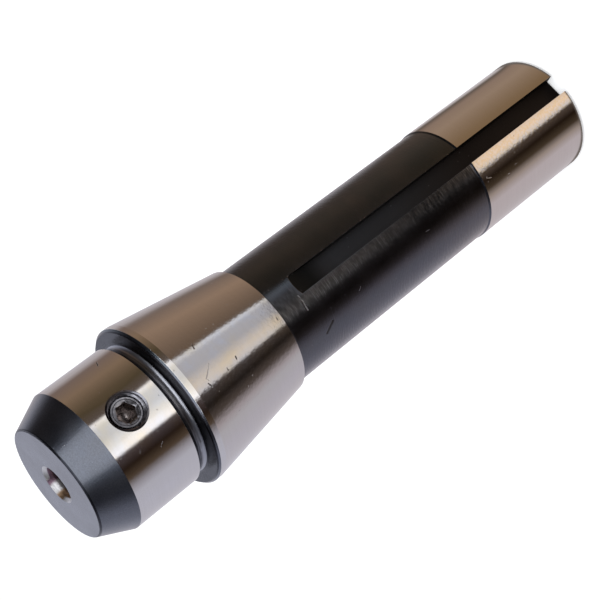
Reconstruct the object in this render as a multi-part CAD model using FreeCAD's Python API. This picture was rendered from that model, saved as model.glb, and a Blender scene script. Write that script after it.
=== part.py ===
import FreeCAD, Part
import math
import os

# A side-lock holder for end mills, in millimetres and degrees.
# The axis is +Z: the tail end stands on Z = 0 and the cutter goes in at the top.
# The keyway and the set screw lie on the -Y side.

# Tail end and the ground bearing that runs in the spindle
BEARING_DIAMETER = 24.1
BEARING_LENGTH = 28.2
TAIL_CHAMFER = 0.4
LEAD_ANGLE = 30.0

# Relieved shank between the bearing and the taper
RELIEF_DIAMETER = 23.7
SHANK_LENGTH = 101.6

# Seat taper and the short land at its large end, where the shank length is measured to
SEAT_DIAMETER = 31.75
SEAT_LENGTH = 21.9
SEAT_HALF_ANGLE = 8.425
SEAT_SMALL_CHAMFER = 0.25
LAND_LENGTH = 1.1
FLANGE_CHAMFER = 0.5

# Groove between the seat and the nose
GROOVE_WIDTH = 2.2
GROOVE_FLOOR_DIAMETER = 25.2
GROOVE_FILLET = 0.9

# Nose with its cone and flat face
NOSE_DIAMETER = 27.4
NOSE_LENGTH = 13.0
NOSE_REAR_CHAMFER = 0.12
CONE_LENGTH = 6.1
FACE_DIAMETER = 21.5
FACE_FILLET = 0.35

# Cutter bore, blind, with the cone left by its drill
CUTTER_DIAMETER = 6.35
BORE_DEPTH = 32.0
BORE_CHAMFER = 0.5
DRILL_TIP_ANGLE = 118.0

# Tapped hole for the drawbar in the tail end
DRAWBAR_DIAMETER = 11.112
DRAWBAR_DEPTH = 30.0
DRAWBAR_CHAMFER = 0.8
THREAD_CLEARANCE = 0.05

# Keyway, milled from the tail end by a disc cutter that climbs out of the shank
KEYWAY_WIDTH = 4.0
KEYWAY_DEPTH = 2.5
KEYWAY_LENGTH = 73.0
KEYWAY_CUTTER_RADIUS = 25.0

# Set screw and its tapped hole in the middle of the nose
SCREW_DIAMETER = 6.35
SCREW_LENGTH = 9.525
SCREW_TOP_CHAMFER = 0.6
SCREW_POINT_CHAMFER = 0.8
HEX_WIDTH = 3.175
HEX_DEPTH = 3.4
HEX_CHAMFER = 0.1
HEX_TURN = 30.0
COUNTERSINK_DIAMETER = 7.1
COUNTERSINK_ANGLE = 120.0

# Overrun of a cutting tool past the face that it starts from
OVERRUN = 1.0

# Radii, and heights above the tail end, that follow from the sizes above
bearing_radius = BEARING_DIAMETER / 2
relief_radius = RELIEF_DIAMETER / 2
seat_radius = SEAT_DIAMETER / 2
nose_radius = NOSE_DIAMETER / 2
bore_radius = CUTTER_DIAMETER / 2
flange_face_z = SHANK_LENGTH + FLANGE_CHAMFER
nose_rear_z = flange_face_z + GROOVE_WIDTH
cone_z = nose_rear_z + NOSE_LENGTH
face_z = cone_z + CONE_LENGTH
screw_z = nose_rear_z + NOSE_LENGTH / 2


def tan_deg(angle):
    return math.tan(math.radians(angle))


def point(radius, height):
    """A point of a turned outline, in the XZ plane."""
    return FreeCAD.Vector(radius, 0, height)


def turned(edges_and_points):
    """Revolve a closed outline about Z. An arc is given as (start, middle, end)."""
    edges = []
    for start, *middle, end in edges_and_points:
        if middle:
            edges.append(Part.Arc(start, middle[0], end).toShape())
        else:
            edges.append(Part.LineSegment(start, end).toShape())
    face = Part.Face(Part.Wire(edges))
    return face.revolve(FreeCAD.Vector(0, 0, 0), FreeCAD.Vector(0, 0, 1), 360)


def chain(corners):
    """Straight runs through a list of corners."""
    return list(zip(corners, corners[1:]))


def quarter(start, corner_radius, height, end, bulge):
    """Arc between two tangent points, given its centre and the side that it bulges to."""
    centre = point(corner_radius, height)
    middle = centre + bulge.normalize() * (start - centre).Length
    return (start, middle, end)


def seat_outline():
    """Tail end, bearing, relief, seat taper and land, from the axis to the land's front edge."""
    lead_length = (bearing_radius - relief_radius) / tan_deg(LEAD_ANGLE)
    seat_top_z = SHANK_LENGTH - LAND_LENGTH
    seat_small_z = seat_top_z - SEAT_LENGTH
    chamfer_z = seat_small_z + SEAT_SMALL_CHAMFER
    chamfer_radius = seat_radius - (seat_top_z - chamfer_z) * tan_deg(SEAT_HALF_ANGLE)
    return chain([
        point(0, 0),
        point(bearing_radius - TAIL_CHAMFER, 0),
        point(bearing_radius, TAIL_CHAMFER),
        point(bearing_radius, BEARING_LENGTH),
        point(relief_radius, BEARING_LENGTH + lead_length),
        point(relief_radius, seat_small_z),
        point(chamfer_radius - SEAT_SMALL_CHAMFER, seat_small_z),
        point(chamfer_radius, chamfer_z),
        point(seat_radius, seat_top_z),
        point(seat_radius, SHANK_LENGTH),
    ])


def groove_outline():
    """Flange chamfer and face, the round-cornered groove, and the nose's rear edge."""
    floor_radius = GROOVE_FLOOR_DIAMETER / 2
    fillet = min(GROOVE_FILLET, GROOVE_WIDTH / 2 - NOSE_REAR_CHAMFER)
    centre_radius = floor_radius + fillet
    lower_z = flange_face_z + fillet
    upper_z = nose_rear_z - fillet
    flange_foot = point(centre_radius, flange_face_z)
    floor_foot = point(floor_radius, lower_z)
    floor_top = point(floor_radius, upper_z)
    wall_foot = point(centre_radius, nose_rear_z)
    return [
        (point(seat_radius, SHANK_LENGTH), point(seat_radius - FLANGE_CHAMFER, flange_face_z)),
        (point(seat_radius - FLANGE_CHAMFER, flange_face_z), flange_foot),
        quarter(flange_foot, centre_radius, lower_z, floor_foot, point(-1, -1)),
        (floor_foot, floor_top),
        quarter(floor_top, centre_radius, upper_z, wall_foot, point(-1, 1)),
        (wall_foot, point(nose_radius - NOSE_REAR_CHAMFER, nose_rear_z)),
        (point(nose_radius - NOSE_REAR_CHAMFER, nose_rear_z),
         point(nose_radius, nose_rear_z + NOSE_REAR_CHAMFER)),
    ]


def nose_outline():
    """Nose cylinder, cone, rounded rim and flat face, back to the axis."""
    face_radius = FACE_DIAMETER / 2
    cone_tilt = math.atan2(nose_radius - face_radius, CONE_LENGTH)
    # The rim's arc is tangent to the cone and to the face
    tangent = FACE_FILLET * math.tan((math.pi / 2 - cone_tilt) / 2)
    cone_end = point(face_radius + tangent * math.sin(cone_tilt), face_z - tangent * math.cos(cone_tilt))
    face_start = point(face_radius - tangent, face_z)
    bulge = point(math.cos(cone_tilt), math.sin(cone_tilt) + 1)
    return [
        (point(nose_radius, nose_rear_z + NOSE_REAR_CHAMFER), point(nose_radius, cone_z)),
        (point(nose_radius, cone_z), cone_end),
        quarter(cone_end, face_radius - tangent, face_z - FACE_FILLET, face_start, bulge),
        (face_start, point(0, face_z)),
        (point(0, face_z), point(0, 0)),
    ]


def drilled_hole(radius, depth, chamfer):
    """A blind hole down from Z = 0, with a drill's cone at its end and a chamfer at its mouth."""
    tip_length = radius / tan_deg(DRILL_TIP_ANGLE / 2)
    mouth_radius = radius + chamfer + OVERRUN
    return turned(chain([
        point(0, OVERRUN),
        point(mouth_radius, OVERRUN),
        point(radius, -chamfer),
        point(radius, -depth),
        point(0, -depth - tip_length),
        point(0, OVERRUN),
    ]))


def cutter_bore():
    bore = drilled_hole(bore_radius, BORE_DEPTH, BORE_CHAMFER)
    bore.translate(FreeCAD.Vector(0, 0, face_z))
    return bore


def drawbar_hole():
    """The tapped hole at its full thread diameter, opening downwards."""
    hole = drilled_hole(DRAWBAR_DIAMETER / 2 + THREAD_CLEARANCE, DRAWBAR_DEPTH, DRAWBAR_CHAMFER)
    hole.rotate(FreeCAD.Vector(0, 0, 0), FreeCAD.Vector(1, 0, 0), 180)
    return hole


def keyway():
    """A slot with a level floor, and a floor that rises on the disc cutter's radius at its end."""
    floor_y = -(bearing_radius - KEYWAY_DEPTH)
    rise = relief_radius + floor_y
    radius = KEYWAY_CUTTER_RADIUS
    run_out = math.sqrt(radius ** 2 - (radius - rise) ** 2)
    rise_z = KEYWAY_LENGTH - run_out
    outer_y = -(seat_radius + OVERRUN)
    straight = Part.makeBox(
        KEYWAY_WIDTH, floor_y - outer_y, rise_z + OVERRUN,
        FreeCAD.Vector(-KEYWAY_WIDTH / 2, outer_y, -OVERRUN))
    disc = Part.makeCylinder(
        radius, KEYWAY_WIDTH,
        FreeCAD.Vector(-KEYWAY_WIDTH / 2, floor_y - radius, rise_z), FreeCAD.Vector(1, 0, 0))
    below_exit = Part.makeBox(
        KEYWAY_WIDTH, 2 * radius, run_out + OVERRUN,
        FreeCAD.Vector(-KEYWAY_WIDTH / 2, floor_y - 2 * radius, rise_z))
    return straight.fuse(disc.common(below_exit))


def on_screw_axis(shape):
    """Take a shape built along +Z, with the holder's axis at Z = 0, to the screw's place."""
    shape.rotate(FreeCAD.Vector(0, 0, 0), FreeCAD.Vector(1, 0, 0), 90)
    shape.translate(FreeCAD.Vector(0, 0, screw_z))
    return shape


def screw_hole():
    """The tapped cross hole with its countersink, at its full thread diameter."""
    radius = SCREW_DIAMETER / 2 + THREAD_CLEARANCE
    sink_radius = COUNTERSINK_DIAMETER / 2
    slope = tan_deg(COUNTERSINK_ANGLE / 2)
    sink_depth = (sink_radius - radius) / slope
    hole = turned(chain([
        point(0, 0),
        point(radius, 0),
        point(radius, nose_radius - sink_depth),
        point(sink_radius + OVERRUN * slope, nose_radius + OVERRUN),
        point(0, nose_radius + OVERRUN),
        point(0, 0),
    ]))
    return on_screw_axis(hole)


def holder_body():
    outline = seat_outline() + groove_outline() + nose_outline()
    body = turned(outline)
    for tool in (cutter_bore(), drawbar_hole(), keyway(), screw_hole()):
        body = body.cut(tool)
    return body


def hex_socket(top):
    """The hexagon socket, two of its corners along the holder's axis, cut down from the screw's top."""
    across_corners = HEX_WIDTH / math.cos(math.radians(30))
    corners = []
    for step in range(7):
        angle = math.radians(HEX_TURN + 60 * step)
        radius = across_corners / 2
        corners.append(FreeCAD.Vector(radius * math.cos(angle), radius * math.sin(angle), top - HEX_DEPTH))
    hexagon = Part.Face(Part.makePolygon(corners))
    prism = hexagon.extrude(FreeCAD.Vector(0, 0, HEX_DEPTH + OVERRUN))
    mouth_radius = across_corners / 2 + HEX_CHAMFER / 2
    mouth = Part.makeCone(
        mouth_radius - HEX_CHAMFER, mouth_radius + OVERRUN, HEX_CHAMFER + OVERRUN,
        FreeCAD.Vector(0, 0, top - HEX_CHAMFER))
    drill_tip = Part.makeCone(
        0, HEX_WIDTH / 2, HEX_WIDTH / 2 / tan_deg(DRILL_TIP_ANGLE / 2),
        FreeCAD.Vector(0, 0, top - HEX_DEPTH - HEX_WIDTH / 2 / tan_deg(DRILL_TIP_ANGLE / 2)))
    return prism.fuse([mouth, drill_tip])


def set_screw():
    """The screw as photographed: its point is level with the wall of the cutter bore."""
    radius = SCREW_DIAMETER / 2
    bottom = bore_radius
    top = bottom + SCREW_LENGTH
    blank = turned(chain([
        point(0, bottom),
        point(radius - SCREW_POINT_CHAMFER, bottom),
        point(radius, bottom + SCREW_POINT_CHAMFER),
        point(radius, top - SCREW_TOP_CHAMFER),
        point(radius - SCREW_TOP_CHAMFER, top),
        point(0, top),
        point(0, bottom),
    ]))
    return on_screw_axis(blank.cut(hex_socket(top)))


def main():
    os.makedirs("parts", exist_ok=True)
    for name, make in (("holder_body", holder_body), ("set_screw", set_screw)):
        shape = make()
        print(name, "valid", shape.isValid(), "solids", len(shape.Solids), "volume", round(shape.Volume, 1))
        shape.exportStep("parts/" + name + ".step")


main()
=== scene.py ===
import bpy
import bmesh
import math
from mathutils import Matrix, Vector


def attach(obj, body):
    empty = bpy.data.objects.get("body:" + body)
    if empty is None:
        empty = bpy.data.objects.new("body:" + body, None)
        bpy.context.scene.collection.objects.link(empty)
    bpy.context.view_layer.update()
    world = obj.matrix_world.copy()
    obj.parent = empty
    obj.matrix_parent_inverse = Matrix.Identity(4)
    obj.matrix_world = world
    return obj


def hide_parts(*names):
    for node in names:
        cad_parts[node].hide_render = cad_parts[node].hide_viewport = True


# Endmill holder: one ground and blackened steel body with its socket set screw.
# Lengths in the dictionaries are millimetres; the meshes are metres, in the CAD frame.

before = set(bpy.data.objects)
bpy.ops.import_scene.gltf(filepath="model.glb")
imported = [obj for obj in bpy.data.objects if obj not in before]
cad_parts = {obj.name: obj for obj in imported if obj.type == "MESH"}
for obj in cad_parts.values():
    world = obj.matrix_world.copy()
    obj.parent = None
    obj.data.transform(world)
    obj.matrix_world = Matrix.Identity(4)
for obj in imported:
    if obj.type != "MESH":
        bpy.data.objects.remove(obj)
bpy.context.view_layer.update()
millimetre = 0.001


# Helpers for node trees and meshes. A mask is a value from 0 to 1 over the surface.

def addNode(tree, kind, **settings):
    node = tree.nodes.new(kind)
    for name, value in settings.items():
        setattr(node, name, value)
    return node


def feed(tree, socket, value):  # a socket to link, or a plain value
    if isinstance(value, bpy.types.NodeSocket):
        tree.links.new(value, socket)
    else:
        socket.default_value = value


def calc(tree, operation, *inputs, clamp=False):
    node = addNode(tree, "ShaderNodeMath", operation=operation, use_clamp=clamp)
    for socket, value in zip(node.inputs, inputs):
        feed(tree, socket, value)
    return node.outputs[0]


def vectorCalc(tree, operation, *inputs, output=0, scale=None):
    node = addNode(tree, "ShaderNodeVectorMath", operation=operation)
    for socket, value in zip(node.inputs, inputs):
        feed(tree, socket, value)
    if scale is not None:
        feed(tree, node.inputs["Scale"], scale)
    return node.outputs[output]


def remap(tree, value, fromLow, fromHigh, toLow=0.0, toHigh=1.0, smooth=False):
    node = addNode(tree, "ShaderNodeMapRange", interpolation_type="SMOOTHSTEP" if smooth else "LINEAR")
    for name, item in (("Value", value), ("From Min", fromLow), ("From Max", fromHigh),
                       ("To Min", toLow), ("To Max", toHigh)):
        feed(tree, node.inputs[name], item)
    return node.outputs["Result"]


def blendColours(tree, mask, first, second):
    node = addNode(tree, "ShaderNodeMix", data_type="RGBA")
    feed(tree, node.inputs["Factor"], mask)
    feed(tree, node.inputs[6], first)
    feed(tree, node.inputs[7], second)
    return node.outputs[2]


def blendValues(tree, mask, first, second):
    node = addNode(tree, "ShaderNodeMix", data_type="FLOAT")
    feed(tree, node.inputs["Factor"], mask)
    feed(tree, node.inputs[2], first)
    feed(tree, node.inputs[3], second)
    return node.outputs[0]


def product(tree, first, *others):
    for other in others:
        first = calc(tree, "MULTIPLY", first, other)
    return first


def inverse(tree, mask):
    return calc(tree, "SUBTRACT", 1.0, mask)


def centred(tree, value):
    return calc(tree, "SUBTRACT", value, 0.5)


def above(tree, value, limit):
    return calc(tree, "GREATER_THAN", value, limit)


def below(tree, value, limit):
    return calc(tree, "LESS_THAN", value, limit)


def between(tree, value, low, high):
    return product(tree, above(tree, value, low), below(tree, value, high))


def plateau(tree, value, riseStart, riseEnd, fallStart, fallEnd, smooth=False):
    rise = remap(tree, value, riseStart, riseEnd, smooth=smooth)
    return product(tree, rise, remap(tree, value, fallEnd, fallStart, smooth=smooth))


def strongestOf(tree, masks):
    total = masks[0]
    for mask in masks[1:]:
        total = calc(tree, "MAXIMUM", total, mask)
    return total


def hypotenuse(tree, first, second):
    squares = [calc(tree, "POWER", side, 2.0) for side in (first, second)]
    return calc(tree, "SQRT", calc(tree, "ADD", *squares))


def splitVector(tree, vector):
    node = addNode(tree, "ShaderNodeSeparateXYZ")
    feed(tree, node.inputs[0], vector)
    return tuple(node.outputs)


def joinVector(tree, *parts):
    node = addNode(tree, "ShaderNodeCombineXYZ")
    for socket, part in zip(node.inputs, parts):
        feed(tree, socket, part)
    return node.outputs[0]


def addNoise(tree, vector, scale, detail=2.0):
    noise = addNode(tree, "ShaderNodeTexNoise")
    noise.inputs["Scale"].default_value = scale
    feed(tree, noise.inputs["Detail"], detail)
    feed(tree, noise.inputs["Vector"], vector)
    return noise


def addBump(tree, shader, height, distance):
    bump = addNode(tree, "ShaderNodeBump")
    bump.inputs["Strength"].default_value = 1.0
    bump.inputs["Distance"].default_value = distance
    feed(tree, bump.inputs["Height"], height)
    feed(tree, shader.inputs["Normal"], bump.outputs[0])


def newGroup(name, inputs, outputs):
    group = bpy.data.node_groups.new(name, "ShaderNodeTree")
    for label, kind, default in inputs:
        socket = group.interface.new_socket(name=label, in_out="INPUT", socket_type=kind)
        socket.default_value = default
    for label, kind in outputs:
        group.interface.new_socket(name=label, in_out="OUTPUT", socket_type=kind)
    return group, addNode(group, "NodeGroupInput"), addNode(group, "NodeGroupOutput")


def useGroup(tree, group, **values):
    node = addNode(tree, "ShaderNodeGroup", node_tree=group)
    for name, value in values.items():
        feed(tree, node.inputs[name], value)
    return node


def newMaterial(name):
    material = bpy.data.materials.new(name)
    material.use_nodes = True
    tree = material.node_tree
    return material, tree, tree.nodes["Principled BSDF"]


def meshObject(name, bm):
    mesh = bpy.data.meshes.new(name)
    bm.to_mesh(mesh)
    bm.free()
    piece = bpy.data.objects.new(name, mesh)
    bpy.context.scene.collection.objects.link(piece)
    return piece


# Camera, from the edges of the holder in the photograph
cameraSizes = {
    "lens": 87.316,
    "sensorWidth": 36.0,
    "clipStart": 10.0,
    "place": (-42.198, -228.936, 187.157),
    "right": (-0.66682, -0.24563, -0.70357),
    "up": (0.72795, -0.41676, -0.54443),
    "ahead": (0.15949, 0.87520, -0.45671),
}

cameraData = bpy.data.cameras.new("camera")
cameraData.lens = cameraSizes["lens"]
cameraData.sensor_width = cameraSizes["sensorWidth"]
cameraData.clip_start = cameraSizes["clipStart"] * millimetre
camera = bpy.data.objects.new("camera", cameraData)
bpy.context.scene.collection.objects.link(camera)
right, up, ahead = (Vector(cameraSizes[side]).normalized() for side in ("right", "up", "ahead"))
turn = Matrix((right, up, -ahead)).transposed().to_4x4()
camera.matrix_world = Matrix.Translation(Vector(cameraSizes["place"]) * millimetre) @ turn
bpy.context.scene.camera = camera
print("camera placed")


# Studio: pale floor, white surroundings, one soft box, and cards round the holder for the steel to reflect
studioSizes = {
    "floorRadius": 3000.0,
    "floorDrop": 0.4,  # the cards lie between the floor and the holder's foot
    "floorColour": (0.82, 0.82, 0.82, 1),
    "floorRoughness": 0.9,
    "floorSpecular": 0.1,
    "floorGlow": 0.42,  # keeps the floor white to the eye
    "boxDistance": 450.0,
    "boxWidth": 520.0,
    "boxHeight": 500.0,
    "boxAzimuth": -92.0,
    "boxElevation": 55.0,
    "boxPower": 2.15,
    "boxColour": (0.93, 0.96, 1.0),
    "boxAim": 100.0,
    "surround": 0.72,
    "surroundColour": (0.97, 0.98, 1.0, 1),
}


def seenByEye(tree):  # camera, glossy and transmission rays see the plain white background
    path = addNode(tree, "ShaderNodeLightPath")
    first = calc(tree, "MAXIMUM", path.outputs["Is Camera Ray"], path.outputs["Is Glossy Ray"])
    return calc(tree, "MAXIMUM", first, path.outputs["Is Transmission Ray"])


def makeWorld():
    world = bpy.data.worlds.new("studioWorld")
    bpy.context.scene.world = world
    world.use_nodes = True
    tree = world.node_tree
    tree.nodes.clear()
    light = addNode(tree, "ShaderNodeBackground")
    light.inputs["Color"].default_value = studioSizes["surroundColour"]
    light.inputs["Strength"].default_value = studioSizes["surround"]
    white = addNode(tree, "ShaderNodeBackground")
    white.inputs["Color"].default_value = (1, 1, 1, 1)
    mix = addNode(tree, "ShaderNodeMixShader")
    output = addNode(tree, "ShaderNodeOutputWorld")
    feed(tree, mix.inputs[0], seenByEye(tree))
    feed(tree, mix.inputs[1], light.outputs[0])
    feed(tree, mix.inputs[2], white.outputs[0])
    feed(tree, output.inputs[0], mix.outputs[0])


def makeFloor():
    bm = bmesh.new()
    bmesh.ops.create_circle(bm, cap_ends=True, segments=96, radius=studioSizes["floorRadius"] * millimetre)
    bmesh.ops.translate(bm, verts=bm.verts, vec=(0, 0, -studioSizes["floorDrop"] * millimetre))
    floor = meshObject("floor", bm)
    material, tree, shader = newMaterial("paleFloor")
    shader.inputs["Base Color"].default_value = studioSizes["floorColour"]
    shader.inputs["Roughness"].default_value = studioSizes["floorRoughness"]
    shader.inputs["Specular IOR Level"].default_value = studioSizes["floorSpecular"]
    shader.inputs["Emission Color"].default_value = (1, 1, 1, 1)
    glow = product(tree, seenByEye(tree), studioSizes["floorGlow"])
    feed(tree, shader.inputs["Emission Strength"], glow)
    floor.data.materials.append(material)


def radialRamp(tree, angle, stops):
    ramp = addNode(tree, "ShaderNodeValToRGB")
    elements = ramp.color_ramp.elements
    for index, (turn, colour) in enumerate(stops):
        place = (turn + 180) / 360
        element = elements[index] if index < 2 else elements.new(place)
        element.position = place
        element.color = (*colour, 1)
    feed(tree, ramp.inputs[0], angle)
    return ramp.outputs[0]


# Cards by their turn round the holder from the camera's side, in degrees: grey wall, dark gap,
# window, brown board, grey wall. One list for each part of the holder that mirrors them.
tailCards = [
    (-180, (0.68, 0.63, 0.66)), (-90, (0.71, 0.63, 0.66)), (-72, (0.49, 0.40, 0.36)),
    (-57, (0.08, 0.055, 0.035)), (-40, (0.02, 0.011, 0.006)), (-24, (0.11, 0.08, 0.065)),
    (-19, (1.02, 0.93, 0.89)), (-9, (1.34, 1.04, 0.80)), (6, (0.98, 0.78, 0.62)),
    (34, (0.38, 0.27, 0.17)), (44, (0.30, 0.19, 0.10)), (95, (0.46, 0.33, 0.24)),
    (126, (0.38, 0.27, 0.21)), (147, (0.16, 0.125, 0.105)), (163, (0.64, 0.58, 0.58)),
    (180, (0.68, 0.63, 0.66)),
]
seatCards = [
    (-180, (0.70, 0.66, 0.70)), (-110, (0.66, 0.63, 0.71)), (-84, (0.63, 0.61, 0.66)),
    (-72, (0.53, 0.47, 0.50)), (-58, (0.11, 0.085, 0.075)), (-41, (0.018, 0.013, 0.010)),
    (-23, (0.09, 0.070, 0.062)), (-19.5, (0.92, 0.88, 0.88)), (-9, (1.00, 0.88, 0.76)),
    (9, (0.62, 0.61, 0.65)), (27, (0.65, 0.65, 0.71)), (34, (1.05, 1.05, 1.08)),
    (37, (0.18, 0.125, 0.09)), (92, (0.43, 0.295, 0.21)), (130, (0.25, 0.19, 0.165)),
    (146, (0.58, 0.53, 0.55)), (180, (0.70, 0.66, 0.70)),
]
noseCards = [
    (-180, (0.66, 0.64, 0.70)), (-110, (0.69, 0.69, 0.81)), (-82, (0.66, 0.66, 0.76)),
    (-70, (0.46, 0.44, 0.50)), (-57, (0.11, 0.075, 0.05)), (-41, (0.025, 0.014, 0.009)),
    (-23, (0.10, 0.075, 0.075)), (-19.5, (1.75, 1.70, 1.70)), (-8, (1.44, 1.39, 1.32)),
    (9, (1.00, 1.00, 1.01)), (25, (1.05, 1.05, 1.07)), (34, (1.50, 1.48, 1.52)),
    (37, (0.15, 0.115, 0.10)), (56, (0.11, 0.08, 0.045)), (92, (0.33, 0.225, 0.15)),
    (122, (0.26, 0.19, 0.165)), (138, (0.60, 0.55, 0.57)), (180, (0.66, 0.64, 0.70)),
]
highCards = [
    (-180, (0.79, 0.81, 0.94)), (-100, (0.78, 0.80, 0.93)), (-86, (0.34, 0.34, 0.38)),
    (-74, (0.08, 0.08, 0.09)), (40, (0.04, 0.035, 0.035)), (118, (0.07, 0.06, 0.06)),
    (142, (0.79, 0.81, 0.94)), (180, (0.79, 0.81, 0.94)),
]


cardSizes = {
    "cameraAzimuth": -100.4,
    "inner": 2.0,
    "outer": 560.0,
    "height": 900.0,
    "roof": 1100.0,
    "rim": ((0.82, 0.0), (0.94, 0.05), (1.0, 0.18)),  # shares of the outer radius, across and up
    "segments": 120,
    "footRadius": 12.0,
    "tailToSeat": (52.0, 80.0),  # distances from the axis over which one list fades into the next
    "seatToNose": (150.0, 240.0),
    "lowGap": (52.0, 60.0, 90.0, 100.0),  # gaps in the window's light, by distance
    "highGap": (410.0, 460.0),
    "window": (0.42, 0.44, 0.60, 0.62),  # by share of the turn
    "gapColour": (0.08, 0.075, 0.075, 1),
    "underFoot": (13.2, 12.8),
    "footColour": (0.22, 0.19, 0.175, 1),
    "lift": (50.0, 160.0),  # heights
    "ceiling": (480.0, 660.0),
    "ceilingColour": (0.08, 0.08, 0.09, 1),
}


def makeCardMesh():
    inner, outer, height, roof = (cardSizes[k] * millimetre for k in ("inner", "outer", "height", "roof"))
    drop = -studioSizes["floorDrop"] * millimetre / 2
    first, *others = [(outer * out, outer * rise) for out, rise in cardSizes["rim"]]
    corners = [(inner, drop), (first[0], drop), *others, (outer, height), (inner, roof)]
    bm = bmesh.new()
    verts = [bm.verts.new((radius, 0, z)) for radius, z in corners]
    edges = [bm.edges.new(pair) for pair in zip(verts, verts[1:])]
    bmesh.ops.spin(bm, geom=verts + edges, cent=(0, 0, 0), axis=(0, 0, 1), dvec=(0, 0, 0),
                   angle=math.tau, steps=cardSizes["segments"], use_merge=True)
    bmesh.ops.remove_doubles(bm, verts=bm.verts, dist=1e-6)
    bmesh.ops.recalc_face_normals(bm, faces=bm.faces)
    bmesh.ops.reverse_faces(bm, faces=bm.faces)  # the lit side looks at the holder
    return meshObject("studioCards", bm)


def makeCardLight():
    s = cardSizes
    material = bpy.data.materials.new("cardLight")
    material.use_nodes = True
    tree = material.node_tree
    tree.nodes.clear()

    def over(value, key):  # a soft step over two of the sizes
        low, high = (size * millimetre for size in s[key])
        return remap(tree, value, low, high, smooth=True)

    place = addNode(tree, "ShaderNodeTexCoord")
    x, y, height = splitVector(tree, place.outputs["Object"])
    flat = joinVector(tree, x, y)
    distance = vectorCalc(tree, "LENGTH", flat, output=1)
    turned = addNode(tree, "ShaderNodeVectorRotate", rotation_type="Z_AXIS")
    feed(tree, turned.inputs["Vector"], flat)
    feed(tree, turned.inputs["Angle"], -math.radians(s["cameraAzimuth"]))
    gradient = addNode(tree, "ShaderNodeTexGradient", gradient_type="RADIAL")
    feed(tree, gradient.inputs[0], turned.outputs[0])
    # close to the foot a mirrored ray starts beside the axis, so the cards fan out there
    foot = s["footRadius"] * millimetre
    reach = calc(tree, "MAXIMUM", distance, foot)
    fan = calc(tree, "DIVIDE", reach, calc(tree, "SUBTRACT", reach, foot / 2))
    angle = calc(tree, "ADD", product(tree, centred(tree, gradient.outputs["Fac"]), fan), 0.5, clamp=True)

    colour = blendColours(tree, over(distance, "tailToSeat"),
                          radialRamp(tree, angle, tailCards), radialRamp(tree, angle, seatCards))
    colour = blendColours(tree, over(distance, "seatToNose"), colour, radialRamp(tree, angle, noseCards))
    lowGap = plateau(tree, distance, *(size * millimetre for size in s["lowGap"]), smooth=True)
    gaps = calc(tree, "MAXIMUM", lowGap, over(distance, "highGap"))
    gaps = product(tree, gaps, plateau(tree, angle, *s["window"]))
    colour = blendColours(tree, gaps, colour, s["gapColour"])
    underFoot = remap(tree, distance, *(size * millimetre for size in s["underFoot"]))
    colour = blendColours(tree, underFoot, colour, s["footColour"])
    colour = blendColours(tree, over(height, "lift"), colour, radialRamp(tree, angle, highCards))
    colour = blendColours(tree, over(height, "ceiling"), colour, s["ceilingColour"])
    light = addNode(tree, "ShaderNodeEmission")
    feed(tree, light.inputs[0], colour)
    output = addNode(tree, "ShaderNodeOutputMaterial")
    feed(tree, output.inputs[0], light.outputs[0])
    return material


def makeCards():
    cards = makeCardMesh()
    cards.data.materials.append(makeCardLight())
    for ray in ("camera", "diffuse", "transmission", "volume_scatter", "shadow"):
        setattr(cards, "visible_" + ray, False)  # boards that only the polished steel sees


def makeSoftBox():
    azimuth, elevation = (math.radians(studioSizes[k]) for k in ("boxAzimuth", "boxElevation"))
    towards = Vector((math.cos(azimuth) * math.cos(elevation), math.sin(azimuth) * math.cos(elevation),
                      math.sin(elevation)))
    light = bpy.data.lights.new("softBox", "AREA")
    light.shape = "RECTANGLE"
    light.size = studioSizes["boxWidth"] * millimetre
    light.size_y = studioSizes["boxHeight"] * millimetre
    light.energy = studioSizes["boxPower"]
    light.color = studioSizes["boxColour"]
    box = bpy.data.objects.new("softBox", light)
    bpy.context.scene.collection.objects.link(box)
    aim = Vector((0, 0, studioSizes["boxAim"]))
    box.location = (aim + towards * studioSizes["boxDistance"]) * millimetre
    box.rotation_mode = "QUATERNION"
    box.rotation_quaternion = towards.to_track_quat("Z", "Y")  # its width lies level


makeWorld()
makeFloor()
makeCards()
makeSoftBox()
bpy.context.scene.view_settings.view_transform = "Standard"
print("studio ready")


# Surface effects shared by the finishes

noiseSpan = (0.3, 0.7)  # most of a noise texture's values lie in it


def millimetrePoint(tree):
    place = addNode(tree, "ShaderNodeTexCoord")
    return vectorCalc(tree, "SCALE", place.outputs["Object"], scale=1 / millimetre)


def makePlaceGroup():  # height above the foot and distance from the axis, in millimetres
    group, _, result = newGroup(
        "axisPlace", [],
        [("Height", "NodeSocketFloat"), ("Radius", "NodeSocketFloat"), ("Point", "NodeSocketVector")])
    point = millimetrePoint(group)
    x, y, height = splitVector(group, point)
    feed(group, result.inputs["Height"], height)
    feed(group, result.inputs["Radius"], vectorCalc(group, "LENGTH", joinVector(group, x, y), output=1))
    feed(group, result.inputs["Point"], point)
    return group


def makeGrainGroup():  # marks that run round the axis: across them by height and radius, along them slowly
    group, given, result = newGroup(
        "turnedGrain",
        [("Across", "NodeSocketFloat", 4.0), ("Along", "NodeSocketFloat", 0.15),
         ("Detail", "NodeSocketFloat", 3.0)],
        [("Height", "NodeSocketFloat")])
    place = useGroup(group, axisPlace)
    x, y, _ = splitVector(group, place.outputs["Point"])
    # the radius counts too, so that flat faces get rings
    height = calc(group, "MULTIPLY_ADD", place.outputs["Radius"], 0.93, place.outputs["Height"])
    along, across = given.outputs["Along"], given.outputs["Across"]
    stretched = joinVector(group, product(group, x, along), product(group, y, along),
                           product(group, height, across))
    noise = addNoise(group, stretched, scale=1.0, detail=given.outputs["Detail"])
    feed(group, result.inputs["Height"], noise.outputs["Fac"])
    return group


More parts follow.
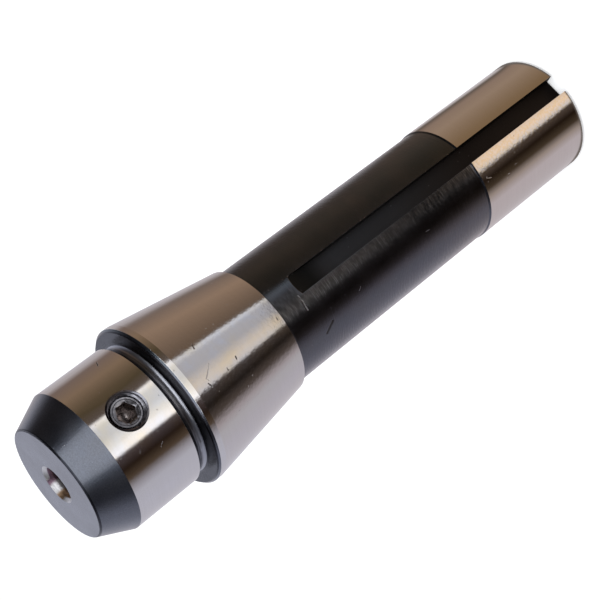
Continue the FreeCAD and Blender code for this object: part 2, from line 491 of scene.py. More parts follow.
def makeFeedGroup():  # the even lines of a lathe tool's feed, a little uneven in height and in depth
    group, given, result = newGroup(
        "feedLines", [("Pitch", "NodeSocketFloat", 0.4), ("Uneven", "NodeSocketFloat", 1.0)],
        [("Height", "NodeSocketFloat")])
    place = useGroup(group, axisPlace)
    wander = addNoise(group, place.outputs["Point"], scale=0.8, detail=3.0)
    count = calc(group, "DIVIDE", place.outputs["Height"], given.outputs["Pitch"])
    phase = calc(group, "MULTIPLY_ADD", wander.outputs["Fac"], given.outputs["Uneven"],
                 product(group, count, math.tau))
    feed(group, result.inputs["Height"], calc(group, "MULTIPLY_ADD", calc(group, "SINE", phase), 0.5, 0.5))
    return group


def makeMarkGroup():  # one nick or scratch from a start to an end, in millimetres
    group, given, result = newGroup(
        "scratchMark",
        [("Start", "NodeSocketVector", (0, 0, 0)), ("End", "NodeSocketVector", (1, 0, 0)),
         ("Width", "NodeSocketFloat", 0.1)],
        [("Mask", "NodeSocketFloat")])
    point = millimetrePoint(group)
    wobble = addNoise(group, point, scale=2.2)
    shift = vectorCalc(group, "SUBTRACT", wobble.outputs["Color"], (0.5, 0.5, 0.5))
    point = vectorCalc(group, "ADD", point, vectorCalc(group, "SCALE", shift, scale=0.35))
    run = vectorCalc(group, "SUBTRACT", given.outputs["End"], given.outputs["Start"])
    offset = vectorCalc(group, "SUBTRACT", point, given.outputs["Start"])
    share = calc(group, "DIVIDE", vectorCalc(group, "DOT_PRODUCT", offset, run, output=1),
                 vectorCalc(group, "DOT_PRODUCT", run, run, output=1), clamp=True)
    nearest = vectorCalc(group, "SCALE", run, scale=share)
    gap = vectorCalc(group, "DISTANCE", offset, nearest, output=1)
    gap = calc(group, "DIVIDE", gap, given.outputs["Width"])
    feed(group, result.inputs["Mask"], remap(group, gap, 0.35, 1.0, 1.0, 0.0, smooth=True))
    return group


def makeSpeckGroup():  # scattered pinprick marks, a share of the cells of a Voronoi pattern
    group, given, result = newGroup(
        "speckField",
        [("Density", "NodeSocketFloat", 0.6), ("Share", "NodeSocketFloat", 0.3),
         ("Size", "NodeSocketFloat", 0.12)],
        [("Mask", "NodeSocketFloat")])
    point = millimetrePoint(group)
    wobble = addNoise(group, point, scale=3.0)
    bent = vectorCalc(group, "ADD", point, vectorCalc(group, "SCALE", wobble.outputs["Color"], scale=0.3))
    cells = addNode(group, "ShaderNodeTexVoronoi")
    feed(group, cells.inputs["Scale"], given.outputs["Density"])
    feed(group, cells.inputs["Vector"], bent)
    chance = addNode(group, "ShaderNodeSeparateColor")
    feed(group, chance.inputs[0], cells.outputs["Color"])
    chosen = below(group, chance.outputs[0], given.outputs["Share"])
    gap = calc(group, "DIVIDE", cells.outputs["Distance"], given.outputs["Size"])
    small = remap(group, gap, 0.4, 1.0, 1.0, 0.0, smooth=True)
    feed(group, result.inputs["Mask"], product(group, chosen, small))
    return group


def makeSkinGroup():  # cloudy black oxide with a few rubbed spots, for the screw and the threads
    group, given, result = newGroup(
        "oxideSkin",
        [("Dark", "NodeSocketColor", (0.05, 0.05, 0.05, 1)), ("Pale", "NodeSocketColor", (0.12, 0.12, 0.12, 1)),
         ("Rubbed", "NodeSocketColor", (0.34, 0.33, 0.33, 1)), ("Worn", "NodeSocketFloat", 0.1),
         ("Rough", "NodeSocketFloat", 0.3)],
        [("Colour", "NodeSocketColor"), ("Roughness", "NodeSocketFloat"), ("Height", "NodeSocketFloat")])
    place = useGroup(group, axisPlace)
    cloud = addNoise(group, place.outputs["Point"], scale=1.6, detail=5.0).outputs["Fac"]
    specks = useGroup(group, speckField, Density=1.6, Share=given.outputs["Worn"], Size=0.22).outputs[0]
    mixed = blendColours(group, remap(group, cloud, 0.35, 0.7), given.outputs["Dark"], given.outputs["Pale"])
    feed(group, result.inputs["Colour"], blendColours(group, specks, mixed, given.outputs["Rubbed"]))
    uneven = remap(group, cloud, *noiseSpan, -0.06, 0.08)
    feed(group, result.inputs["Roughness"], calc(group, "ADD", given.outputs["Rough"], uneven))
    feed(group, result.inputs["Height"], cloud)
    return group


axisPlace = makePlaceGroup()
turnedGrain = makeGrainGroup()
feedLines = makeFeedGroup()
scratchMark = makeMarkGroup()
speckField = makeSpeckGroup()
oxideSkin = makeSkinGroup()


# Holder body: ground bands and black oxide, with the marks of use in the photograph
bodyFinish = {
    # colours
    "groundColour": (0.60, 0.585, 0.57, 1),
    "groundShade": (0.575, 0.56, 0.545, 1),
    "shankOxide": (0.080, 0.085, 0.103, 1),
    "shankShadedSide": (0.048, 0.060, 0.070, 1),
    "stripPaintedShade": (0.022, 0.022, 0.023, 1),
    "noseOxide": (0.080, 0.086, 0.106, 1),
    "flangeShadedOxide": (0.036, 0.037, 0.045, 1),
    "flangeShade": (0.016, 0.015, 0.018, 1),
    "grooveOxide": (0.260, 0.264, 0.290, 1),
    "sinkPaintedShade": (0.020, 0.017, 0.019, 1),
    "sinkPaintedLight": (0.230, 0.226, 0.250, 1),
    "footEdgeShade": (0.350, 0.340, 0.335, 1),
    "faceEdgeShade": (0.030, 0.031, 0.038, 1),
    "keywayOxide": (0.019, 0.017, 0.017, 1),
    "keywayMiddle": (0.041, 0.042, 0.046, 1),
    "keywayEnd": (0.016, 0.018, 0.020, 1),
    "boreSteel": (0.42, 0.41, 0.41, 1),
    "boreBrownReflection": (0.27, 0.175, 0.105, 1),
    "borePurpleReflection": (0.17, 0.11, 0.14, 1),
    "wornOxide": (0.110, 0.103, 0.105, 1),
    "brightMark": (0.40, 0.40, 0.42, 1),
    "stripGlintLine": (0.108, 0.109, 0.115, 1),
    "strawStain": (0.60, 0.52, 0.36, 1),
    "blueReflectionTint": (0.575, 0.59, 0.63, 1),
    "strawReflectionTint": (0.62, 0.575, 0.485, 1),
    "dirt": (0.03, 0.028, 0.028, 1),
    "speckTone": (0.22, 0.23, 0.26, 1),
    # roughness
    "groundRoughness": 0.10,
    "shankRoughness": 0.18,
    "noseRoughness": 0.30,
    "grooveRoughness": 0.32,
    "keywayRoughness": 0.42,
    "boreRoughness": 0.38,
    "markRoughness": 0.5,
    "oxideUneven": (-0.03, 0.05),
    "groundUneven": (-0.008, 0.012),
    "coatRoughness": 0.15,
    "oilFilm": (0.40, 0.20, 0.6),  # shank, its other side, nose
    "stripDry": 0.7,
    # where each finish lies: heights first, then distances from the axis
    "tailBand": (0.42, 28.2, 12.02),
    "seatBand": (78.88, 101.62),
    "seatCone": (12.631, 78.6, 0.14812),  # radius at a height, and how it grows
    "seatDepth": 0.05,
    "seatLand": 15.83,
    "noseBand": (104.44, 117.3, 13.66),
    "noseStart": (101.7, 102.4),
    "flange": (101.9, 102.25),
    "groove": (102.25, 104.3, 13.4),
    "faceRim": (123.08, 123.39, 10.2),
    "foot": (0.43, 11.6),
    "shankBand": (28.3, 78.7, 11.6),
    "screwHole": (110.8, 3.54),
    "sinkLean": (-1.0, 2.2),
    "boreBottom": 90.0,
    "boreMouth": 3.68,
    "boreLip": (121.8, 122.9, 12.8),
    "boreTips": (122.7, 122.9),
    "boreTipsAcross": (1.9, 2.3),
    "borePurpleAcross": (0.9, 1.4),
    "boreBrownAcross": (-0.4, -0.9),
    "keyway": (73.2, 11.80),
    "keywayFloor": -9.3,
    "keywayHalf": 2.01,
    "keywayPaler": (26.0, 46.0),
    "keywayRunOut": (65.0, 68.5),
    "keywayEdge": (1.96, 2.14, -11.0),
    "stripBand": (28.6, 78.6),
    "besideSeatStart": (72.6, 73.6),
    # turns round the axis from the keyway's side, in degrees
    "besideKeyway": (-30.0, -21.0, -10.6, -9.6),
    "besideSeat": (-28.0, -22.0, -2.0, 4.0),
    "flangeShaded": (-80.0, -45.0, 10.0, 45.0),
    "litSteel": (-34.0, -28.0, 4.0, 10.0),
    "otherSide": (-0.45, 0.40),  # as shares of the radius
    # how strongly a pattern shows
    "wornShow": (0.40, 0.75, 0.0, 0.30),
    "grainShow": (0.86, 1.15),
    "speckShow": 0.4,
    "hairShow": (0.42, 0.62, 0.08, 1.0),
    "strokeShow": (0.2, 0.8, 0.1, 1.15),
    "tintShow": (0.06, 0.7),
    "strawFrom": (0.52, 0.64),
    "blueFrom": (0.48, 0.38),
    "fleckFrom": (0.70, 0.82),
    "stainShow": 0.55,
    "edgeFrom": (0.60, 0.66),
    "edgeShow": 0.7,
    # the relief's height, and each pattern's part of it
    "reliefHeight": 0.03,
    "feedDepth": 0.30,
    "turnedDepth": (0.2, 1.1),
    "grainDepth": (0.55, 0.7),
    "grindDepth": (0.007, 1.3),
    "broadDepth": 0.01,
    "tailRipple": (0.05, 0.7),
    "seatRipple": 0.4,
    "noseRipple": 0.12,
    "speckDepth": 0.6,
}

# Start, end and half width in millimetres, and how strongly it shows
darkMarks = [
    ((10.32, -9.01, 107.73), (9.50, -9.87, 108.25), 0.13, 0.8),
    ((1.93, -15.03, 95.62), (1.11, -15.15, 95.87), 0.13, 0.8),
    ((-2.31, -14.97, 95.57), (-3.22, -14.96, 96.64), 0.12, 0.25),
    ((-3.22, -14.96, 96.64), (-4.00, -14.93, 97.65), 0.14, 0.30),
    ((-4.00, -14.93, 97.65), (-4.49, -14.74, 97.37), 0.12, 0.2),
    ((-3.89, -13.90, 90.74), (-4.30, -13.79, 90.86), 0.20, 0.8),
    ((-4.91, -14.68, 97.84), (-5.49, -14.44, 97.64), 0.17, 0.7),
    ((-4.65, -14.07, 93.36), (-4.95, -13.96, 93.37), 0.14, 0.5),
    ((-2.78, -12.49, 79.73), (-3.14, -12.42, 79.81), 0.14, 0.8),
    ((-8.42, -8.34, 70.03), (-9.31, -7.33, 71.95), 0.36, 1.0),
]
lightMarks = [
    ((-7.11, -11.71, 109.11), (-7.56, -11.42, 109.72), 0.10, 0.5),
    ((-6.09, -12.27, 112.98), (-6.36, -12.13, 113.36), 0.08, 0.4),
    ((-8.56, -11.76, 91.53), (-8.86, -11.54, 91.58), 0.09, 0.5),
    ((-2.79, -11.52, 73.42), (-4.68, -10.89, 73.55), 0.12, 1.0),
    ((-1.80, -11.71, 73.54), (-2.79, -11.52, 73.42), 0.09, 0.7),
    ((-7.00, -9.56, 62.11), (-7.32, -9.32, 62.68), 0.08, 0.5),
    ((-6.49, -9.91, 44.54), (-6.59, -9.85, 43.66), 0.08, 0.5),
    ((-1.30, -11.78, 55.02), (-1.81, -11.71, 55.10), 0.08, 0.5),
    ((-5.74, -10.60, 27.20), (-6.20, -10.33, 26.11), 0.08, 0.5),
    ((-5.74, -10.60, 27.20), (-5.52, -10.71, 26.89), 0.08, 0.5),
    ((-7.47, -9.45, 22.16), (-7.61, -9.34, 21.66), 0.09, 0.5),
    ((-7.01, -9.80, 19.80), (-6.95, -9.84, 19.17), 0.07, 0.4),
]


def markMask(tree, marks):
    masks = []
    for start, end, width, strength in marks:
        mark = useGroup(tree, scratchMark, Start=start, End=end, Width=width).outputs[0]
        masks.append(product(tree, mark, strength))
    return strongestOf(tree, masks)


def makeBodyFinish():
    f = bodyFinish
    material, tree, shader = newMaterial("holderSteel")
    place = useGroup(tree, axisPlace)
    height, radius, point = (place.outputs[k] for k in ("Height", "Radius", "Point"))
    across, depth, _ = splitVector(tree, point)

    def ring(low, high, inside):  # between two heights and outside a radius
        return product(tree, between(tree, height, low, high), above(tree, radius, inside))

    # which parts of the outline are ground bright: tail bearing, seat, nose, and the cutter bore
    tail = ring(*f["tailBand"])
    coneRadius, coneHeight, slope = f["seatCone"]
    cone = calc(tree, "MULTIPLY_ADD", height, slope, coneRadius - coneHeight * slope - f["seatDepth"])
    seat = ring(*f["seatBand"], calc(tree, "MINIMUM", cone, f["seatLand"]))
    level, edge = f["screwHole"]
    fromHole = hypotenuse(tree, across, calc(tree, "SUBTRACT", height, level))
    sunk = product(tree, below(tree, fromHole, edge), below(tree, depth, 0.0))
    nose = product(tree, ring(*f["noseBand"]), inverse(tree, sunk))
    bore = product(tree, above(tree, height, f["boreBottom"]), below(tree, radius, f["boreMouth"]))
    ground = strongestOf(tree, [tail, seat, nose, bore])

    # which parts of the black oxide have their own tone or painted shade
    top, edge = f["keyway"]
    inKeyway = product(tree, below(tree, height, top), below(tree, depth, f["keywayFloor"]),
                       below(tree, calc(tree, "ABSOLUTE", across), f["keywayHalf"]), below(tree, radius, edge))
    rim = ring(*f["faceRim"])
    onNose = remap(tree, height, *f["noseStart"])
    onFlange = between(tree, height, *f["flange"])
    low, high, edge = f["groove"]
    inGroove = product(tree, between(tree, height, low, high), below(tree, radius, edge))
    top, edge = f["foot"]
    foot = product(tree, below(tree, height, top), above(tree, radius, edge))
    side = remap(tree, calc(tree, "DIVIDE", across, radius), *f["otherSide"], smooth=True)

    # turn round the axis from the keyway's side, in degrees, for the strip beside the keyway where the
    # highlight falls
    aside = calc(tree, "DEGREES", calc(tree, "ARCTAN2", across, product(tree, depth, -1.0)))
    riseStart, riseEnd, fallStart, fallEnd = f["besideKeyway"]
    besideKeyway = product(tree, remap(tree, aside, riseStart, riseEnd, smooth=True),
                           remap(tree, aside, fallEnd, fallStart))
    besideSeat = product(tree, plateau(tree, aside, *f["besideSeat"]),
                         remap(tree, height, *f["besideSeatStart"]))
    strip = product(tree, calc(tree, "MAXIMUM", besideKeyway, besideSeat), inverse(tree, inKeyway),
                    between(tree, height, *f["stripBand"]))

    # patterns
    fine = useGroup(tree, turnedGrain, Across=9.0, Along=0.10, Detail=4.0).outputs[0]
    broad = useGroup(tree, turnedGrain, Across=1.3, Along=0.05, Detail=2.0).outputs[0]
    turned = useGroup(tree, turnedGrain, Across=3.4, Along=0.22, Detail=2.0).outputs[0]
    lines = useGroup(tree, feedLines, Pitch=0.42, Uneven=5.0).outputs[0]
    hairs = useGroup(tree, turnedGrain, Across=6.5, Along=0.75, Detail=2.0).outputs[0]
    strokes = useGroup(tree, feedLines, Pitch=0.30, Uneven=6.0).outputs[0]
    grain = addNoise(tree, point, scale=4.5, detail=3.0).outputs["Fac"]
    cloud = addNoise(tree, point, scale=0.22, detail=4.0).outputs["Fac"]
    mottle = addNoise(tree, point, scale=1.8, detail=3.0).outputs["Fac"]
    specks = useGroup(tree, speckField, Density=0.75, Share=0.30, Size=0.10).outputs[0]
    dark, light = markMask(tree, darkMarks), markMask(tree, lightMarks)

    # black oxide
    # painted shade: the +X side of the shank is painted darker than the rest
    oxide = blendColours(tree, side, f["shankOxide"], f["shankShadedSide"])
    oxide = blendColours(tree, onNose, oxide, f["noseOxide"])
    oxide = blendColours(tree, remap(tree, cloud, *f["wornShow"]), oxide, f["wornOxide"])
    oxide = vectorCalc(tree, "SCALE", oxide, scale=remap(tree, grain, *noiseSpan, *f["grainShow"]))
    oxide = blendColours(tree, inGroove, oxide, f["grooveOxide"])
    # painted light and shade on the countersink round the screw: lighter towards +X and below the screw's axis,
    # darker on the other side
    lean = calc(tree, "MULTIPLY_ADD", across, 0.5, calc(tree, "SUBTRACT", level, height))
    sink = blendColours(tree, remap(tree, lean, *f["sinkLean"]), f["sinkPaintedShade"], f["sinkPaintedLight"])
    oxide = blendColours(tree, sunk, oxide, sink)
    # painted shade: the flange face is painted darker than the nose, and darker still on the turns where it is
    # shaded
    shaded = plateau(tree, aside, *f["flangeShaded"], smooth=True)
    flange = blendColours(tree, shaded, f["flangeShadedOxide"], f["flangeShade"])
    oxide = blendColours(tree, onFlange, oxide, flange)
    # painted shade: the chamfer round the foot is painted darker than the ground tail above it
    oxide = blendColours(tree, foot, oxide, f["footEdgeShade"])
    slot = blendColours(tree, remap(tree, height, *f["keywayPaler"]), f["keywayOxide"], f["keywayMiddle"])
    slot = blendColours(tree, remap(tree, height, *f["keywayRunOut"]), slot, f["keywayEnd"])
    oxide = blendColours(tree, inKeyway, oxide, slot)
    # painted shade: the fillet round the nose's face is painted dark, a painted dark reflection along that edge
    oxide = blendColours(tree, rim, oxide, f["faceEdgeShade"])
    oxide = blendColours(tree, product(tree, specks, f["speckShow"]), oxide, f["speckTone"])
    # painted shade: the oxide along the highlight strip is painted near black, so the highlight hardly shows
    # there
    oxide = blendColours(tree, strip, oxide, f["stripPaintedShade"])
    # painted highlight: paler turning lines painted only inside the highlight strip
    paintedGlintLines = product(tree, remap(tree, hairs, *f["hairShow"]), strip, remap(tree, strokes, *f["strokeShow"]))
    oxide = blendColours(tree, paintedGlintLines, oxide, f["stripGlintLine"])
    low, high, outside = f["keywayEdge"]
    worn = product(tree, between(tree, across, low, high), below(tree, depth, outside),
                   remap(tree, mottle, *f["edgeFrom"]), f["edgeShow"])
    oxide = blendColours(tree, worn, oxide, f["brightMark"])

    # ground steel, with painted reflection tints of blue and straw, strongest on the lit side, and the bore's
    # wall
    steel = blendColours(tree, remap(tree, fine, *noiseSpan), f["groundShade"], f["groundColour"])
    lit = plateau(tree, aside, *f["litSteel"])
    # painted reflection: blue and straw tints painted into the steel, mostly on the lit side
    reflectionTint = product(tree, calc(tree, "MAXIMUM", nose, seat), blendValues(tree, lit, *f["tintShow"]))
    straw = product(tree, remap(tree, cloud, *f["strawFrom"]), reflectionTint)
    steel = blendColours(tree, straw, steel, f["strawReflectionTint"])
    blue = product(tree, remap(tree, cloud, *f["blueFrom"]), reflectionTint)
    steel = blendColours(tree, blue, steel, f["blueReflectionTint"])
    flecks = remap(tree, calc(tree, "MULTIPLY_ADD", grain, 0.5, mottle), *f["fleckFrom"])
    stain = product(tree, flecks, tail, besideKeyway, f["stainShow"])
    steel = blendColours(tree, stain, steel, f["strawStain"])
    # painted reflections: the bore's wall is painted purple towards +X and brown towards -X, with painted
    # highlights of pale steel at the two tips of its mouth
    wall = blendColours(tree, remap(tree, across, *f["borePurpleAcross"]), f["boreSteel"], f["borePurpleReflection"])
    wall = blendColours(tree, remap(tree, across, *f["boreBrownAcross"]), wall, f["boreBrownReflection"])
    paintedMouthHighlights = product(tree, remap(tree, calc(tree, "ABSOLUTE", across), *f["boreTipsAcross"]),
                   remap(tree, height, *f["boreTips"]))
    wall = blendColours(tree, paintedMouthHighlights, wall, f["groundColour"])
    steel = blendColours(tree, bore, steel, wall)

    colour = blendColours(tree, ground, oxide, steel)
    colour = blendColours(tree, dark, colour, f["dirt"])
    colour = blendColours(tree, light, colour, f["brightMark"])
    feed(tree, shader.inputs["Base Color"], colour)

    # roughness, and the film of oil on the oxide
    oxideRoughness = blendValues(tree, onNose, f["shankRoughness"], f["noseRoughness"])
    oxideRoughness = blendValues(tree, inKeyway, oxideRoughness, f["keywayRoughness"])
    oxideRoughness = blendValues(tree, inGroove, oxideRoughness, f["grooveRoughness"])
    uneven = remap(tree, cloud, *noiseSpan, *f["oxideUneven"])
    oxideRoughness = calc(tree, "ADD", oxideRoughness, uneven)
    uneven = remap(tree, broad, *noiseSpan, *f["groundUneven"])
    steelRoughness = calc(tree, "ADD", uneven, f["groundRoughness"])
    steelRoughness = blendValues(tree, bore, steelRoughness, f["boreRoughness"])
    roughness = blendValues(tree, ground, oxideRoughness, steelRoughness)
    roughness = blendValues(tree, calc(tree, "MAXIMUM", dark, light), roughness, f["markRoughness"])
    feed(tree, shader.inputs["Roughness"], roughness)
    shader.inputs["Metallic"].default_value = 1.0
    dry = strongestOf(tree, [ground, inKeyway, rim, onFlange, sunk, product(tree, strip, f["stripDry"])])
    *onShank, atNose = f["oilFilm"]
    film = blendValues(tree, onNose, blendValues(tree, side, *onShank), atNose)
    feed(tree, shader.inputs["Coat Weight"], product(tree, inverse(tree, dry), film))
    shader.inputs["Coat Roughness"].default_value = f["coatRoughness"]

    # relief: lathe lines on the oxide, the wheel's grain on the ground steel
    ridges = calc(tree, "MULTIPLY_ADD", centred(tree, lines), f["feedDepth"], centred(tree, turned))
    ridges = product(tree, ridges, blendValues(tree, ring(*f["shankBand"]), *f["turnedDepth"]))
    grainDepth = blendValues(tree, onNose, *f["grainDepth"])
    ridges = calc(tree, "MULTIPLY_ADD", centred(tree, grain), grainDepth, ridges)
    grind = product(tree, centred(tree, fine), blendValues(tree, bore, *f["grindDepth"]))
    grind = calc(tree, "MULTIPLY_ADD", centred(tree, broad), f["broadDepth"], grind)
    ripple = product(tree, tail, blendValues(tree, besideKeyway, *f["tailRipple"]))
    ripple = calc(tree, "MULTIPLY_ADD", seat, f["seatRipple"], ripple)
    ripple = calc(tree, "MULTIPLY_ADD", nose, f["noseRipple"], ripple)
    grind = calc(tree, "MULTIPLY_ADD", centred(tree, mottle), ripple, grind)
    low, high, lipDepth = f["boreLip"]  # the mouth is rounded where cutters went in
    lip = product(tree, calc(tree, "POWER", remap(tree, height, low, high), 2.0), bore)
    grind = calc(tree, "MULTIPLY_ADD", lip, -lipDepth, grind)
    surface = blendValues(tree, ground, ridges, grind)
    dents = strongestOf(tree, [dark, light, product(tree, specks, f["speckDepth"])])
    addBump(tree, shader, calc(tree, "SUBTRACT", surface, dents), f["reliefHeight"] * millimetre)
    return material


holderSteel = makeBodyFinish()
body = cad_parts["holder_body"]
for slot in body.material_slots:
    slot.material = holderSteel
if not body.material_slots:
    body.data.materials.append(holderSteel)
print("body finished, marks", len(darkMarks) + len(lightMarks))


# Threads, built up the Z axis, then laid on the axis of their hole

threadFinish = {
    "screwDark": (0.130, 0.130, 0.142, 1),
    "screwPale": (0.300, 0.297, 0.320, 1),
    "screwRoughness": 0.28,
    "screwWorn": 0.10,
    "socketSteel": (0.30, 0.262, 0.25, 1),
    "socketEdge": 1.87,
    "socketFrom": (-12.66, -12.5),
    "topLine": (2.17, 2.31),
    "topLineTone": (0.05, 0.05, 0.056, 1),
    "topFace": -12.6,
    "leanShade": (-1.5, 2.0, 0.8, 1.8),
    "holeDark": (0.150, 0.146, 0.160, 1),
    "holePale": (0.340, 0.333, 0.360, 1),
    "holeRoughness": 0.33,
    "holeWorn": 0.04,
    "reliefHeight": 0.01,
}
threadFlank = math.radians(30)
sharpFrom = math.radians(28)  # edges turn sharp from this angle


def finishWithSkin(name, dark, pale, roughness, worn):
    material, tree, shader = newMaterial(name)
    skin = useGroup(tree, oxideSkin, Dark=dark, Pale=pale, Worn=worn, Rough=roughness)
    feed(tree, shader.inputs["Base Color"], skin.outputs["Colour"])
    feed(tree, shader.inputs["Roughness"], skin.outputs["Roughness"])
    shader.inputs["Metallic"].default_value = 1.0
    addBump(tree, shader, skin.outputs["Height"], threadFinish["reliefHeight"] * millimetre)
    return material, tree, shader, skin


def makeScrewFinish():  # the socket is barer steel than the rest
    f = threadFinish
    material, tree, shader, skin = finishWithSkin(
        "screwBlack", f["screwDark"], f["screwPale"], f["screwRoughness"], f["screwWorn"])
    x, y, z = splitVector(tree, useGroup(tree, axisPlace).outputs["Point"])
    level = calc(tree, "SUBTRACT", z, bodyFinish["screwHole"][0])
    fromAxis = hypotenuse(tree, x, level)
    inside = product(tree, below(tree, fromAxis, f["socketEdge"]), remap(tree, y, *f["socketFrom"]))
    line = product(tree, between(tree, fromAxis, *f["topLine"]), below(tree, y, f["topFace"]))
    # painted light and shade: the screw's colour is scaled lighter towards +X and below its axis, darker on the
    # other side
    lean = calc(tree, "SUBTRACT", product(tree, x, 0.5), level)
    colour = vectorCalc(tree, "SCALE", skin.outputs["Colour"], scale=remap(tree, lean, *f["leanShade"]))
    colour = blendColours(tree, line, colour, f["topLineTone"])
    feed(tree, shader.inputs["Base Color"], blendColours(tree, inside, colour, f["socketSteel"]))
    return material


def makeHoleFinish():
    f = threadFinish
    return finishWithSkin("holeBlack", f["holeDark"], f["holePale"], f["holeRoughness"], f["holeWorn"])[0]


screwLevel = bodyFinish["screwHole"][0] * millimetre
screwAxis = Matrix.Translation((0, 0, screwLevel)) @ Matrix.Rotation(math.radians(90), 4, "X")

screwSizes = {
    "pitch": 25.4 / 28,
    "phase": 0.3,
    "crest": 3.175,
    "root": 2.60,
    "bottom": 3.175,
    "length": 9.525,
    "topChamfer": 0.6,
    "pointChamfer": 0.8,
    "socketMouth": 1.883,
    "acrossFlats": 3.175,
    "socketFlare": 0.1,
    "socketDepth": 3.4,
    "socketFloor": 1.25,
    "drillTip": 0.95,
    "tipRadius": 0.02,
    "flankParts": 4,
    "steps": 48,
}


def helix(bm, profile, pitch, turns, steps, start, closed=False):
    verts = [bm.verts.new((radius, 0, z + start)) for radius, z in profile]
    edges = [bm.edges.new(pair) for pair in zip(verts, verts[1:] + verts[:1] if closed else verts[1:])]
    spun = bmesh.ops.spin(bm, geom=verts + edges, cent=(0, 0, 0), axis=(0, 0, 1), dvec=(0, 0, pitch / steps),
                          angle=math.tau * turns, steps=steps * turns, use_merge=False)
    return edges, [g for g in spun["geom_last"] if isinstance(g, bmesh.types.BMEdge)]


def loopAt(bm, level, tolerance=1e-4):
    return [e for e in bm.edges if e.is_boundary and all(abs(v.co.z - level) < tolerance for v in e.verts)]


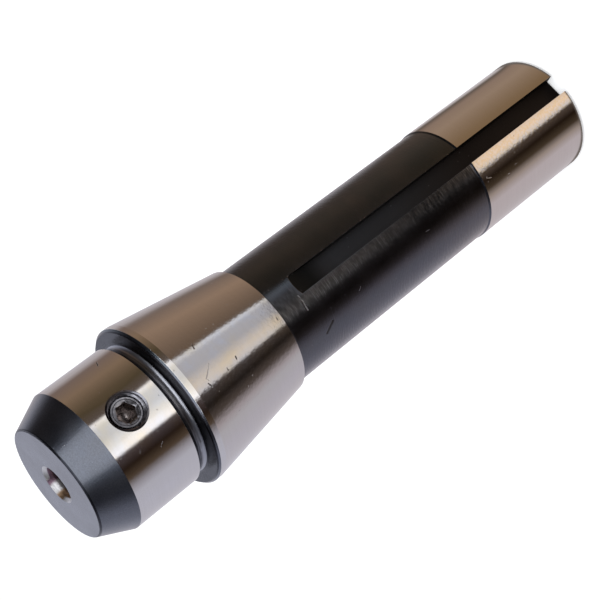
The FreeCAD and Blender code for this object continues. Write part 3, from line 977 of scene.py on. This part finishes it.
def makeSetScrew():
    s = screwSizes
    pitch, depth = s["pitch"], s["crest"] - s["root"]
    flank = depth * math.tan(threadFlank)
    crestFlat = pitch / 8
    rootHalf = (pitch - crestFlat - 2 * flank) / 2
    profile = [(s["root"], 0), (s["root"], rootHalf)]
    parts = s["flankParts"]
    profile += [(s["root"] + depth * k / parts, rootHalf + flank * k / parts) for k in range(1, parts + 1)]
    profile += [(s["crest"] - depth * k / parts, rootHalf + flank + crestFlat + flank * k / parts)
                for k in range(parts)]
    profile += [(s["root"], pitch - rootHalf), (s["root"], pitch)]
    bottom, top = s["bottom"], s["bottom"] + s["length"]
    first = math.floor(bottom / pitch) - 1
    turns = math.ceil(top / pitch) + 1 - first
    bm = bmesh.new()
    helix(bm, profile, pitch, turns, s["steps"], first * pitch + s["phase"])
    bmesh.ops.remove_doubles(bm, verts=bm.verts, dist=1e-5)
    for level, side in ((bottom, -1), (top, 1)):
        bmesh.ops.bisect_plane(bm, geom=bm.verts[:] + bm.edges[:] + bm.faces[:], dist=1e-6,
                               plane_co=(0, 0, level), plane_no=(0, 0, side), clear_outer=True)
    for v in bm.verts:  # the turned chamfers at both ends cut the thread down
        limit = s["crest"] + min(top - v.co.z - s["topChamfer"], v.co.z - bottom - s["pointChamfer"])
        radius = v.co.xy.length
        if radius > limit:
            v.co.xy *= limit / radius

    def sink(edges, drop, shape):  # carry a loop down, then move it to its new outline
        made = bmesh.ops.extrude_edge_only(bm, edges=edges)["geom"]
        moved = [g for g in made if isinstance(g, bmesh.types.BMVert)]
        for v in moved:
            v.co = (*(v.co.xy.normalized() * shape(math.atan2(v.co.y, v.co.x))), v.co.z - drop)
        return [g for g in made if isinstance(g, bmesh.types.BMEdge) and all(v in moved for v in g.verts)]

    sixth = math.radians(60)

    def hexagon(angle):
        return s["acrossFlats"] / 2 / math.cos((angle + sixth / 2) % sixth - sixth / 2)

    ring = sink(loopAt(bm, top), 0.0, lambda angle: s["socketMouth"])
    ring = sink(ring, s["socketFlare"], hexagon)
    ring = sink(ring, s["socketDepth"] - s["socketFlare"], hexagon)
    ring = sink(ring, 0.0, lambda angle: s["socketFloor"])
    ring = sink(ring, s["drillTip"], lambda angle: s["tipRadius"])
    bmesh.ops.pointmerge(bm, verts=list({v for e in ring for v in e.verts}),
                         merge_co=(0, 0, top - s["socketDepth"] - s["drillTip"]))
    bmesh.ops.contextual_create(bm, geom=loopAt(bm, bottom))
    bmesh.ops.triangulate(bm, faces=[f for f in bm.faces if len(f.verts) > 4])
    bmesh.ops.remove_doubles(bm, verts=bm.verts, dist=1e-5)
    bmesh.ops.recalc_face_normals(bm, faces=bm.faces)
    openEdges = sum(1 for e in bm.edges if not e.is_manifold)
    bmesh.ops.scale(bm, verts=bm.verts, vec=(millimetre,) * 3)
    bmesh.ops.transform(bm, matrix=screwAxis, verts=bm.verts)
    screw = meshObject("setScrew", bm)
    screw.data.shade_smooth()
    screw.data.set_sharp_from_angle(angle=sharpFrom)
    print("set screw: faces", len(screw.data.polygons), "open edges", openEdges)
    return screw


setScrew = makeSetScrew()
setScrew.data.materials.append(makeScrewFinish())
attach(setScrew, "screw")
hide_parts("set_screw")


def makeThreadRidge(name, sizes, place):  # the ridge left between the grooves of a tapped hole
    s = sizes
    wide = (s["wall"] - s["crest"]) * math.tan(threadFlank)
    half = s["pitch"] / 8 - s["clearance"]
    profile = [(s["wall"], -half - wide), (s["crest"], -half), (s["crest"], half), (s["wall"], half + wide)]
    bm = bmesh.new()
    for end in helix(bm, profile, s["pitch"], s["turns"], s["steps"], s["start"], closed=True):
        bmesh.ops.contextual_create(bm, geom=end)
    lowest, highest = s["start"], s["start"] + s["pitch"] * s["turns"]
    for v in bm.verts:  # the ridge fades in over its first and last half turn
        ends = min(v.co.z - lowest, highest - v.co.z) / (s["pitch"] / 2)
        fade = max(0.02, min(1.0, ends))  # never quite flat
        radius = v.co.xy.length
        v.co.xy *= (s["wall"] + (radius - s["wall"]) * fade) / radius
    bmesh.ops.recalc_face_normals(bm, faces=bm.faces)
    bmesh.ops.scale(bm, verts=bm.verts, vec=(millimetre,) * 3)
    bmesh.ops.transform(bm, matrix=place, verts=bm.verts)
    ridge = meshObject(name, bm)
    ridge.data.shade_smooth()
    ridge.data.set_sharp_from_angle(angle=sharpFrom)
    print(name, "faces", len(ridge.data.polygons))
    return ridge


screwHoleSizes = {
    "pitch": screwSizes["pitch"],
    "wall": 3.245,
    "crest": 2.72,
    "clearance": 0.03,
    "start": 4 * screwSizes["pitch"] + screwSizes["phase"],
    "turns": 10,
    "steps": 48,
}
drawbarSizes = {
    "pitch": 1.27,
    "wall": 5.63,
    "crest": 4.95,
    "clearance": 0.0,
    "start": 0.9,
    "turns": 21,
    "steps": 48,
}
holeBlack = makeHoleFinish()
for name, sizes, place in (("screwHoleThread", screwHoleSizes, screwAxis),
                           ("drawbarThread", drawbarSizes, Matrix.Identity(4))):
    ridge = makeThreadRidge(name, sizes, place)
    ridge.data.materials.append(holeBlack)
    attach(ridge, "holder")
